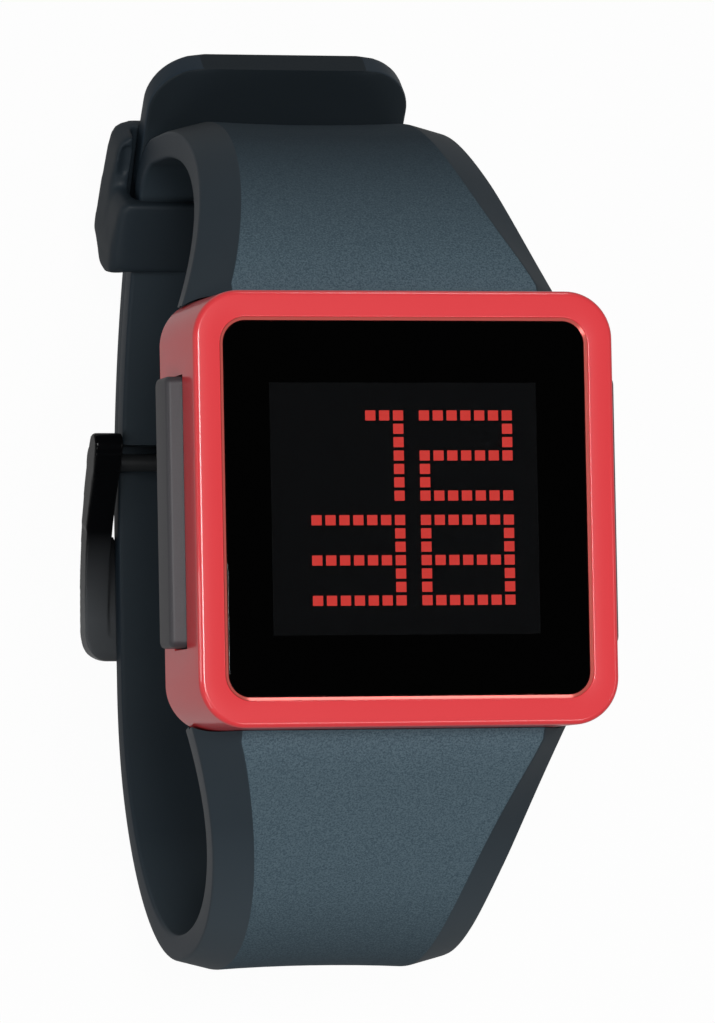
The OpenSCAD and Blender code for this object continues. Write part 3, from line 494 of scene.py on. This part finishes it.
# brushed stainless steel: a cool grey whose highlight is drawn out across the brush lines
brushed_steel, tree, out = start("brushed_stainless_steel")
where = add(tree, "ShaderNodeTexCoord").outputs["Object"]
stretch = add(tree, "ShaderNodeMapping", {"Vector": where, "Scale": (1, 0.02, 1)})
# brush lines lie about 0.1 mm apart
lines = add(tree, "ShaderNodeTexNoise", {"Vector": stretch.outputs[0], "Scale": 9000, "Detail": 3})
tone = add(tree, "ShaderNodeMix", {"Factor": lines.outputs["Fac"], 6: linear("#9DA1A5"),
                                   7: linear("#B9BCBF")}, data_type="RGBA")
rough = add(tree, "ShaderNodeMapRange", {"Value": lines.outputs["Fac"], "To Min": 0.26, "To Max": 0.42})
bump = add(tree, "ShaderNodeBump", {"Height": lines.outputs["Fac"], "Strength": 0.15,
                                    "Distance": 0.00002})
skin = add(tree, "ShaderNodeBsdfPrincipled", {
    "Base Color": tone.outputs[2], "Roughness": rough.outputs[0], "Metallic": 1.0,
    "Normal": bump.outputs[0]})
tree.links.new(skin.outputs[0], out.inputs["Surface"])
dress("case_back", brushed_steel)
# turned stainless steel: darker than the plate, with a plain soft shine
turned_steel = solid("turned_stainless_steel", "#8B8F93", 0.3, 0.3, "#9DA1A5", Metallic=1.0)
dress("case_back_screws", turned_steel)
dress("upper_spring_bar", turned_steel)
dress("lower_spring_bar", turned_steel)

# A side button is a bar of grey anodised aluminium, milled with a plain flat face and eased
# edges, then blasted matt. Two stems carry it through the case.
button_z, stem_y = 6.3, 7.5
bar_y, bar_z, bar_in, bar_out, bar_edge = 11.8, 2.0, 17.1, 20.45, 0.45
stem_r, stem_in = 0.8, 13.7


def pill(x, hy, hz, r, steps=10):
    """Points of an upright rectangle with round corners at x, seen along X."""
    found = []
    for turn, (sy, sz) in enumerate(((1, 1), (-1, 1), (-1, -1), (1, -1))):
        for i in range(steps + 1):
            a = math.radians(90 * (turn + i / steps))
            found.append((x, sy * (hy - r) + r * math.cos(a),
                          button_z + sz * (hz - r) + r * math.sin(a)))
    return found


# blasted and dyed aluminium: a warm dark grey with a fine grain and a soft, low shine
anodised_grey, tree, out = start("anodised_aluminium_grey")
where = add(tree, "ShaderNodeTexCoord").outputs["Object"]
# the blasted grain is about 0.1 mm
grain = add(tree, "ShaderNodeTexNoise", {"Vector": where, "Scale": 9000, "Detail": 2})
tint = add(tree, "ShaderNodeMix", {"Factor": grain.outputs["Fac"], 6: linear("#37363A"),
                                   7: linear("#444347")}, data_type="RGBA")
rough = add(tree, "ShaderNodeMapRange", {"Value": grain.outputs["Fac"], "To Min": 0.42, "To Max": 0.55})
bump = add(tree, "ShaderNodeBump", {"Height": grain.outputs["Fac"], "Strength": 0.2,
                                    "Distance": 0.00003})
skin = add(tree, "ShaderNodeBsdfPrincipled", {
    "Base Color": tint.outputs[2], "Roughness": rough.outputs[0], "Specular IOR Level": 0.4217,
    "Normal": bump.outputs[0]})
tree.links.new(skin.outputs[0], out.inputs["Surface"])
for side, word in ((-1, "left"), (1, "right")):
    rings = [pill(bar_in, bar_y, bar_z, 0.5)]
    for i in range(7):
        a = math.radians(90 * i / 6)
        x = bar_out - bar_edge + bar_edge * math.sin(a)
        less = bar_edge * (1 - math.cos(a))
        rings.append(pill(x, bar_y - less, bar_z - less, 0.62 - 0.6 * less))
    rings = [[(side * x, y, z) for x, y, z in each] for each in rings]
    bar = stack(word + "_button_bar", rings if side > 0 else rings[::-1], [], 0)
    stems = [rod("stem", stem_r, *sorted((side * stem_in, side * (bar_in + 0.1))), y, button_z)
             for y in (-stem_y, stem_y)]
    cut(bar, stems, "UNION")
    shade(bar, 30)
    bar.data.materials.clear()
    bar.data.materials.append(anodised_grey)
    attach(bar, word + "_button")
    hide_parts(word + "_button")


# The strap is two lengths of moulded polyurethane, thick at the case with a flat bevel along
# each side, and thin where it laps behind the wrist. Its centre panel has a satin metallic
# paint, its bevels, edges and lining are bare matt rubber. Spring bars hold it to the lugs.
thin, ridge, hollow, panel_bevel = 2.35, 0.9, 0.25, 3.5
# the lap bends about one centre: the short half inside, the long half's tail round it
lap_y, lap_z, tail_r, short_r = 0.5, 20.2, 61.65, 59.15
# the short half turns back at 12 o'clock in a tight bend that runs into the lap
up_y, turn_r = 33.85, 5.4
turn_y = up_y - turn_r
turn_z = lap_z - math.sqrt((short_r - turn_r) ** 2 - (turn_y - lap_y) ** 2)
turn_a = math.degrees(math.asin((turn_y - lap_y) / (short_r - turn_r)))
# it ends in a loop round the buckle's pin
pin_y, pin_r, past_pin = 7.3, 59.9, 0.95
pin_z = lap_z - pin_r * math.cos(math.asin((pin_y - lap_y) / pin_r))
end_a = math.degrees(math.asin((pin_y + past_pin - lap_y) / short_r))
tip_y = 44.08
tip_a = math.degrees(math.asin((tip_y - lap_y) / (tail_r + thin)))
# the long half hangs down at 6 o'clock and runs flat below the wrist
low_y, low_z = -36.6, -43.8
flat_z, side_z, flat_y = thin + low_z, 0.514 * low_z, 0.355 * low_y
# its spring bars lie here, on both sides of the case
bar_at_y, bar_at_z = 20.7, 2.4


def curve(p, u, q, v, n):
    """A cubic curve from p, leaving along u, to q, arriving along v."""
    found = []
    for i in range(n):
        t = i / n
        s = 1 - t
        found.append([s ** 3 * p[k] + 3 * s * s * t * (p[k] + u[k])
                      + 3 * s * t * t * (q[k] - v[k]) + t ** 3 * q[k] for k in (0, 1)])
    return found


def arc(y, z, r, a0, a1, n):
    """Points of an arc about y, z; angle 0 is straight down."""
    turns = [math.radians(a0 + (a1 - a0) * i / n) for i in range(n)]
    return [[y + r * math.sin(a), z - r * math.cos(a)] for a in turns]


def lap_point(r, a):
    """A point of the lap at a radius and angle."""
    return [lap_y + r * math.sin(math.radians(a)), lap_z - r * math.cos(math.radians(a))]


# both halves leave the case from under the bezel, sloping down by some 20 degrees
begin_y, begin_z = 14, 0.9
pull, slope = 12.4, math.radians(20)
out_y, out_z = pull * math.cos(slope) + 1.5, -pull * math.sin(slope) - 0.5
plumb = 3.5
upper_path = curve([begin_y, begin_z], [out_y, out_z], [up_y, turn_z + plumb], [0, -11], 48)
upper_path += [[up_y, turn_z + plumb * (1 - i / 6)] for i in range(6)]
upper_path += arc(turn_y, turn_z, turn_r, 90, turn_a, 30)
upper_flat = len(upper_path)
upper_path += arc(lap_y, lap_z, short_r, turn_a, end_a, 40) + [lap_point(short_r, end_a)]
lower_path = curve([-begin_y, begin_z], [-out_y, out_z], [low_y, side_z], [0, -11], 48)
lower_path += curve([low_y, side_z], [0, 0.53 * (flat_z - side_z)], [flat_y, flat_z],
                    [0.53 * (flat_y - low_y), 0], 44)
lower_flat = len(lower_path)
lower_path += [[flat_y + (lap_y - flat_y) * i / 10, flat_z] for i in range(10)]
# the sections lie closer at the tail, for its round corners
corner_a = tip_a - 4.6
lower_path += arc(lap_y, lap_z, tail_r, 0, corner_a, 48)
lower_path += arc(lap_y, lap_z, tail_r, corner_a, tip_a, 24) + [lap_point(tail_r, tip_a)]


def travel(path):
    """Distance travelled at each point of a path."""
    found = [0]
    for a, b in zip(path, path[1:]):
        found.append(found[-1] + math.hypot(b[0] - a[0], b[1] - a[1]))
    return found


# every change of section is counted from here, just inside the bezel's edge
bezel_at = 4.6


def left_of(s, over):
    """How much of a change is left at s: 1 at the bezel, 0 after the distance it goes over."""
    s -= bezel_at
    return max(1 - (s + math.hypot(s, 2.5)) / 2 / over, 0)


def narrowing(s, over):
    """How much of the shoulder is left at s, straight on from under the bezel."""
    return max(1 - max(s - bezel_at, -1.2) / over, 0) ** 2


def eased(corners):
    """Rounds the corners of an outline; each is x, y, rounding, steps and the paint after it."""
    found = []
    for i, (x, y, r, steps, paint) in enumerate(corners):
        before, after = corners[i - 1], corners[(i + 1) % len(corners)]
        if r == 0:
            found.append((x, y, paint))
            continue
        reach_a = math.hypot(before[0] - x, before[1] - y)
        reach_b = math.hypot(after[0] - x, after[1] - y)
        ra, rb = min(r / reach_a, 0.45), min(r / reach_b, 0.45)
        p = (x + (before[0] - x) * ra, y + (before[1] - y) * ra)
        q = (x + (after[0] - x) * rb, y + (after[1] - y) * rb)
        for k in range(steps + 1):
            t = k / steps
            found.append(((1 - t) ** 2 * p[0] + 2 * t * (1 - t) * x + t * t * q[0],
                          (1 - t) ** 2 * p[1] + 2 * t * (1 - t) * y + t * t * q[1],
                          paint if k >= steps / 2 else before[4]))
    return found


def strap(name, path, side, flat_at, width):
    """A strap half: a skin of rounded sections along its path, painted on its centre panel."""
    gone = travel(path)
    points, faces, paints = [], [], []
    for i, (y, z) in enumerate(path):
        a, b = path[max(i - 1, 0)], path[min(i + 1, len(path) - 1)]
        step = math.hypot(b[0] - a[0], b[1] - a[1])
        n = (-side * (b[1] - a[1]) / step, side * (b[0] - a[0]) / step)
        s = gone[i]
        # half width, side height, how much of the ridge is left, and the height of its panel
        w, t = width(s), thin + 0.8 * left_of(s, 28)
        f = min(max((gone[flat_at] - s) / 10, 0), 1)
        f = f * f * (3 - 2 * f)
        h = t + f * (ridge + 3.8 * left_of(s, 40) ** 5.2) + 0.001
        t += 1.4 * left_of(s, 18) ** 2
        # depth of the panel's hollow, width of the bevel, and how far the sides sink by the case
        k, c = f * hollow, min(panel_bevel, w - 2)
        d = 2.4 * left_of(s, 12) ** 1.5
        dish = [(x * (w - c), h - k * (1 - x * x)) for x in (0.75, 0.5, 0.25, 0, -0.25, -0.5, -0.75)]
        # the corners go round from the wrist's side; the last value is the material that follows
        low, high, eased_r = -0.7 * d, t - d / 2, 0.3 + 0.25 * (1 - f)
        outline = [(w, low, 0.4, 4, 2), (w, high, eased_r, 4, 0), (w - c, h, 0.35, 4, 1)]
        outline += [(x, v, 0, 0, 1) for x, v in dish]
        outline += [(c - w, h, 0.35, 4, 0), (-w, high, eased_r, 4, 2), (-w, low, 0.4, 4, 0)]
        outline += [(-w * x, 0, 0, 0, 0) for x in (0.6, 0.2, -0.2, -0.6)]
        section = eased(outline)
        paints = [p[2] for p in section]
        points += [(-side * x, y + n[0] * v, z + n[1] * v) for x, v, p in section]
    m = len(paints)
    for i in range(len(path) - 1):
        for j in range(m):
            k = (j + 1) % m
            faces.append((i * m + j, (i + 1) * m + j, (i + 1) * m + k, i * m + k))
    faces.append(tuple(range(m)))
    faces.append(tuple(reversed(range((len(path) - 1) * m, len(path) * m))))
    made = piece(name, points, faces, [matt_rubber, satin_paint, side_rubber], 0)
    for i, polygon in enumerate(made.data.polygons):
        if i < (len(path) - 1) * m:
            polygon.material_index = paints[i % m]
    return made


def painted_light_and_shade(tree, where, begin, end, most):
    """How much painted light or shade a surface takes: from nothing to the most, between two places
    along Y in metres.
    """
    y = add(tree, "ShaderNodeSeparateXYZ", {0: where}).outputs["Y"]
    return add(tree, "ShaderNodeMapRange", {"Value": y, "From Min": begin, "From Max": end,
                                            "To Min": 0.0, "To Max": most}).outputs[0]


# moulded polyurethane: a dark slate grey, matt from the mould's spark texture, with hardly a shine
matt_rubber, tree, out = start("moulded_polyurethane_slate")
where = add(tree, "ShaderNodeTexCoord").outputs["Object"]
# the mould's spark texture is about 0.15 mm
spark = add(tree, "ShaderNodeTexNoise", {"Vector": where, "Scale": 6500, "Detail": 2})
clouds = add(tree, "ShaderNodeTexNoise", {"Vector": where, "Scale": 60, "Detail": 3})
tint = add(tree, "ShaderNodeMix", {"Factor": clouds.outputs["Fac"], 6: linear("#2B343B"),
                                   7: linear("#323C43")}, data_type="RGBA")
# painted shade darkens the free tail, and painted light makes the bend below 6 o'clock paler
for begin, end, code in ((0.034, 0.038, "#1F262B"), (-0.027, -0.036, "#3C464D")):
    tint = add(tree, "ShaderNodeMix", {"Factor": painted_light_and_shade(tree, where, begin, end, 1.0), 6: tint.outputs[2],
                                       7: linear(code)}, data_type="RGBA")
bump = add(tree, "ShaderNodeBump", {"Height": spark.outputs["Fac"], "Strength": 0.15,
                                    "Distance": 0.00003})
skin = add(tree, "ShaderNodeBsdfPrincipled", {
    "Base Color": tint.outputs[2], "Roughness": 0.55, "Specular IOR Level": 0.14,
    "Normal": bump.outputs[0]})
tree.links.new(skin.outputs[0], out.inputs["Surface"])

# soft-feel metallic paint: a paler blue grey with a fine mottled sparkle and a dull satin sheen
satin_paint, tree, out = start("metallic_soft_paint_slate")
where = add(tree, "ShaderNodeTexCoord").outputs["Object"]
# the paint's flakes are about 0.05 mm; they are drawn at 0.2 mm so that the sparkle shows
flakes = add(tree, "ShaderNodeTexVoronoi", {"Vector": where, "Scale": 5200})
spot = add(tree, "ShaderNodeTexNoise", {"Vector": where, "Scale": 6200, "Detail": 3,
                                        "Roughness": 0.75})
mixed = add(tree, "ShaderNodeMapRange", {"Value": spot.outputs["Fac"], "From Min": 0.36,
                                         "From Max": 0.64})
tint = add(tree, "ShaderNodeMix", {"Factor": mixed.outputs[0], 6: linear("#41525D"),
                                   7: linear("#62757F")}, data_type="RGBA")
# painted shade: the panel is mixed towards the rubber's dark slate near the bend at 12 o'clock, and less
# near the bend below 6 o'clock
painted_shade = add(tree, "ShaderNodeMath", {0: painted_light_and_shade(tree, where, 0.0225, 0.035, 0.85),
                                      1: painted_light_and_shade(tree, where, -0.033, -0.04, 0.35)}, operation="MAXIMUM")
tint = add(tree, "ShaderNodeMix", {"Factor": painted_shade.outputs[0], 6: tint.outputs[2],
                                   7: linear("#2B343B")}, data_type="RGBA")
tilt = add(tree, "ShaderNodeBump", {"Height": flakes.outputs["Distance"], "Strength": 0.25,
                                    "Distance": 0.00004})
skin = add(tree, "ShaderNodeBsdfPrincipled", {
    "Base Color": tint.outputs[2], "Roughness": 0.65, "Metallic": 0.15, "Specular IOR Level": 0.05,
    "Specular Tint": linear("#6E7F8A"), "Normal": tilt.outputs[0]})
tree.links.new(skin.outputs[0], out.inputs["Surface"])

# the sides come from the polished rim of the mould, so they catch more sheen than the top
side_rubber = solid("moulded_polyurethane_smooth_side", "#232D36", 0.42, 0.2, "#2A353E",
                    Specular_IOR_Level=0.15)


def case_room(r):
    """Room for the case: wide at its foot, with corners of radius r above it."""
    return [stack("foot_room", [ring(half + 0.06, 4.2, z) for z in (-14, foot)], [], 0),
            stack("side_room", [ring(half + 0.06, r, z) for z in (foot - 0.01, 14)], [], 0)]


def bar_room(side):
    """Room for one half's two lugs and for its spring bar, on one side of the case."""
    y = sorted((side * 18, side * 22.1))
    return [block("lug_room", (x - lug_half, y[0], -6), (x + lug_half, y[1], lug_top))
            for x in (-lug_x, lug_x)] + [rod("bore", 0.95, -11.1, 11.1, side * bar_at_y, bar_at_z)]


upper_w, lower_w, tail_w, tip_r = 12.65, 12.4, 12.35, 4.6
knuckle_r, knuckle_half = 1.6, 8.6
upper = strap("upper_strap_half", upper_path, 1, upper_flat,
              lambda s: upper_w + 4.3 * narrowing(s, 22))
cut(upper, [rod("knuckle", knuckle_r, -knuckle_half, knuckle_half, pin_y, pin_z, 48)], "UNION")
# the end loop is narrower than the strap, and open in its middle for the tongue
cuts = case_room(3.8) + bar_room(1) + [rod("pin_bore", 0.85, -13, 13, pin_y, pin_z)]
cuts += [block("tongue_room", (-1.4, 3.3, pin_z - 4), (1.4, 10.5, pin_z + 4))]
cuts += [block("pin_room", (x - 2.4, 4, pin_z - 3), (x + 2.4, 8.9, pin_z + 4)) for x in (-11, 11)]
cut(upper, cuts)
lower_last = travel(lower_path)[-1]


def lower_width(s):
    """Half width of the long half: it narrows to the tail and ends in round corners."""
    w = max(lower_w + 4.45 * narrowing(s, 25) - 0.1 * s / lower_last, tail_w)
    e = max(tip_r - (lower_last - s), 0)
    return w - tip_r + math.sqrt(tip_r ** 2 - e * e)


lower = strap("lower_strap_half", lower_path, -1, lower_flat, lower_width)
cuts = case_room(3.7) + bar_room(-1)
# seven oblong holes with rounded mouths; the tongue stands in the middle one
hole_y, hole_pitch, hole_r, mouth_r, hole_reach = 5.2, 7, 1.4, 1.75, 1.1
middle_a = math.degrees(math.asin((hole_y - lap_y) / tail_r))
for i in range(-3, 4):
    a = middle_a + math.degrees(i * hole_pitch / tail_r)
    y, z = lap_point(tail_r, a) if a >= 0 else (lap_y + math.radians(a) * tail_r, flat_z)
    turn = Matrix.Rotation(math.radians(max(a, 0)), 3, "X")
    rings = []
    for r, d in ((mouth_r, 0.4), (hole_r, 0), (hole_r, -thin), (mouth_r, -thin - 0.4)):
        ends = []
        for k in range(32):
            b = math.radians(360 * k / 32)
            far = hole_reach if math.sin(b) >= 0 else -hole_reach
            ends.append(Vector((r * math.cos(b), far + r * math.sin(b), d)))
        rings.append([tuple(turn @ p + Vector((0, y, z))) for p in ends])
    cuts.append(stack("hole", rings[::-1], [], 0))
cut(lower, cuts)
for made, name in ((upper, "upper_strap"), (lower, "lower_strap")):
    shade(made, 32)
    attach(made, "watch")
    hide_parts(name)


# The keeper is one moulded loop of the same rubber round both straps, with a broad outer
# plate. It is soft edged all over and slides along the lap with a little friction.
def merged(name, node):
    """A copy of a carried-over node with its loose triangles joined."""
    data = nodes[node].data.copy()
    mesh = bmesh.new()
    mesh.from_mesh(data)
    bmesh.ops.remove_doubles(mesh, verts=mesh.verts, dist=2e-6)
    mesh.to_mesh(data)
    mesh.free()
    data.transform(nodes[node].matrix_world)
    data.materials.clear()
    made = bpy.data.objects.new(name, data)
    bpy.context.scene.collection.objects.link(made)
    return made


def softened(made, grid, rounds):
    """Remeshes a piece to an even grid in millimetres and eases its edges."""
    step = made.modifiers.new("grid", "REMESH")
    step.mode = "VOXEL"
    step.voxel_size = grid / 1000
    step.use_smooth_shade = True
    ease = made.modifiers.new("ease", "SMOOTH")
    ease.factor = 0.5
    ease.iterations = rounds
    bpy.context.view_layer.update()
    seen = made.evaluated_get(bpy.context.evaluated_depsgraph_get())
    data = bpy.data.meshes.new_from_object(seen)
    made.modifiers.clear()
    made.data = data
    for polygon in data.polygons:
        polygon.use_smooth = True


def swept(name, sections):
    """A bar through sections: two X values, then two points in Y and Z, the lower one first."""
    return stack(name, [[(x0, *low), (x0, *high), (x1, *high), (x1, *low)]
                        for x0, x1, low, high in sections], [], 0)


keeper = merged("keeper_loop", "keeper")
# a cheek fills the corner between the plate and each side wall
cheek_x, cheek_half = 14.25, 0.9
cheek = (((24.6, -34.6), (24.4, -32.6)), ((25.6, -36.6), (25.4, -32.3)), ((28.6, -38.0), (28.6, -33.5)))
cut(keeper, [swept("cheek", [(x - cheek_half, x + cheek_half, low, high) for low, high in cheek])
             for x in (-cheek_x, cheek_x)], "UNION")
softened(keeper, 0.24, 26)
# the same rubber, newer: a shade darker than the strap, even, with a faint soft sheen
keeper_rubber, tree, out = start("moulded_polyurethane_dark_slate")
where = add(tree, "ShaderNodeTexCoord").outputs["Object"]
spark = add(tree, "ShaderNodeTexNoise", {"Vector": where, "Scale": 6500, "Detail": 2})
clouds = add(tree, "ShaderNodeTexNoise", {"Vector": where, "Scale": 80, "Detail": 3})
tint = add(tree, "ShaderNodeMix", {"Factor": clouds.outputs["Fac"], 6: linear("#20282E"),
                                   7: linear("#262F36")}, data_type="RGBA")
bump = add(tree, "ShaderNodeBump", {"Height": spark.outputs["Fac"], "Strength": 0.12,
                                    "Distance": 0.00003})
skin = add(tree, "ShaderNodeBsdfPrincipled", {
    "Base Color": tint.outputs[2], "Roughness": 0.5, "Specular IOR Level": 0.2,
    "Normal": bump.outputs[0]})
tree.links.new(skin.outputs[0], out.inputs["Surface"])
keeper.data.materials.append(keeper_rubber)
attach(keeper, "keeper")
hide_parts("keeper")

# The buckle is a bowed frame of zinc alloy, cast, polished and plated gloss black, on a dark
# steel pin through the strap's loop. Its bent tongue goes through a hole to the far bar.
bow_y, bow_z, bow_r = -10.61, -15.31, 29.95
arm_in, arm_out, arm_half = 12.95, 15.45, 1.1
under_strap = -44.15


def arm_at(turn, out):
    """A point of the bowed arm at a turn of its arc, out from its middle line, in Y and Z."""
    a = math.radians(turn)
    return bow_y + (bow_r + out) * math.sin(a), bow_z - (bow_r + out) * math.cos(a)


buckle = merged("buckle_bow", "buckle_frame")
# the arm swells evenly to the pin, and has a ledge inwards below the strap
swell = [(24, arm_half), (29, 1.25), (33, 1.45), (38, 1.5), (40.3, 1.25)]
ledge = [(2, 11.9), (6, 11.7), (12, 11.7), (17, 11.7), (20, 11.9), (21.7, 12.3)]
added = []
for side in (-1, 1):
    added.append(swept("swell", [(*sorted((side * arm_in, side * arm_out)), arm_at(turn, t),
                                  arm_at(turn, -t)) for turn, t in swell]))
    added.append(swept("ledge", [(*sorted((side * inner, side * 13.3)), arm_at(turn, arm_half),
                                  (arm_at(turn, arm_half)[0], under_strap)) for turn, inner in ledge]))
cut(buckle, added, "UNION")
softened(buckle, 0.13, 5)
# black plated zinc, polished: near black with soft, slightly wavy mirrors and no colour of its own
plated_black, tree, out = start("black_plated_zinc_polished")
where = add(tree, "ShaderNodeTexCoord").outputs["Object"]
# polishing leaves a slow waviness of about 3 mm
wave = add(tree, "ShaderNodeTexNoise", {"Vector": where, "Scale": 330, "Detail": 2})
rough = add(tree, "ShaderNodeMapRange", {"Value": wave.outputs["Fac"], "To Min": 0.13, "To Max": 0.22})
bump = add(tree, "ShaderNodeBump", {"Height": wave.outputs["Fac"], "Strength": 0.05,
                                    "Distance": 0.0002})
# painted highlight: the arms' free end is painted a paler satin grey, for a soft reflection
tint = add(tree, "ShaderNodeMix", {"Factor": painted_light_and_shade(tree, where, 0.001, -0.007, 1.0),
                                   6: linear("#0B0C0E"), 7: linear("#55585B")}, data_type="RGBA")
# the black plating mirrors only weakly
skin = add(tree, "ShaderNodeBsdfPrincipled", {
    "Base Color": tint.outputs[2], "Roughness": rough.outputs[0], "Specular IOR Level": 0.1033,
    "Coat Weight": 0.04, "Coat Roughness": 0.08, "Normal": bump.outputs[0]})
tree.links.new(skin.outputs[0], out.inputs["Surface"])
buckle.data.materials.append(plated_black)
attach(buckle, "buckle_frame")
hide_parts("buckle_frame")
tongue = merged("bent_tongue", "buckle_tongue")
softened(tongue, 0.08, 4)
tongue.data.materials.append(plated_black)
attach(tongue, "buckle_tongue")
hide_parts("buckle_tongue")
# blackened steel: a dark grey that is duller than the plated frame beside it
dark_steel = solid("blackened_steel_pin", "#2A2C2D", 0.4, 0.3, "#36383A", Metallic=0.2)
dress("buckle_pin", dark_steel)
